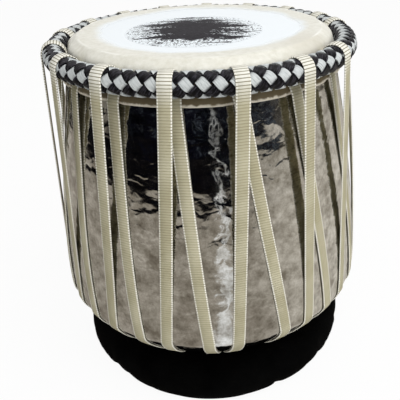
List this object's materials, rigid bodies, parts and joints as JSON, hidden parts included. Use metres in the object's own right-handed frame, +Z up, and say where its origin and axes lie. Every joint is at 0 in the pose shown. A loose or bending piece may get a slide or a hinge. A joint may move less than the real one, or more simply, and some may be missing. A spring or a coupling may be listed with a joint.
{
  "type": "tabla bayan",
  "caption": "Tabla bayan: plated, hammered bass drum with a strap-laced head, a black and white plaited ring and a ring cushion.",
  "frame": {"origin": "on the drum's axis at the floor, the middle of the ring cushion's flat underside", "axes": "+Z up along the drum's axis; -Y is the front, where the player's hand rests on the head"},
  "size_m": [0.2768, 0.2779, 0.2995],
  "materials": {
    "plated_shell": "polished, hammered all over",
    "skin": "smooth goatskin, chalked and glossy in the middle",
    "paste": "matt, grainy and streaked",
    "hoop": "raw",
    "white_leather": "satin",
    "black_leather": "satin",
    "webbing": "ribbed across",
    "ring_steel": "drawn wire",
    "cushion_cloth": "matt black cloth",
    "stuffing": "packed loose"
  },
  "bodies": {
    "cushion": {"cushion_cover": "cushion_cloth", "cushion_stuffing": "stuffing"},
    "drum": {"shell": "plated_shell", "inner_ring_skin": "skin", "main_skin": "skin", "outer_ring_skin": "skin", "tuning_paste": "paste", "braid_core_hoop": "hoop", "white_strand_1": "white_leather", "white_strand_2": "white_leather", "white_strand_3": "white_leather", "white_strand_4": "white_leather", "black_strand_1": "black_leather", "black_strand_2": "black_leather", "black_strand_3": "black_leather", "black_strand_4": "black_leather", "lacing_strap": "webbing", "bottom_ring": "ring_steel"}
  },
  "joints": [
    {"name": "drum_lift", "type": "slide", "parent": "cushion", "child": "drum", "axis": [0, 0, 1], "range_m": [0, 0.06]}
  ]
}
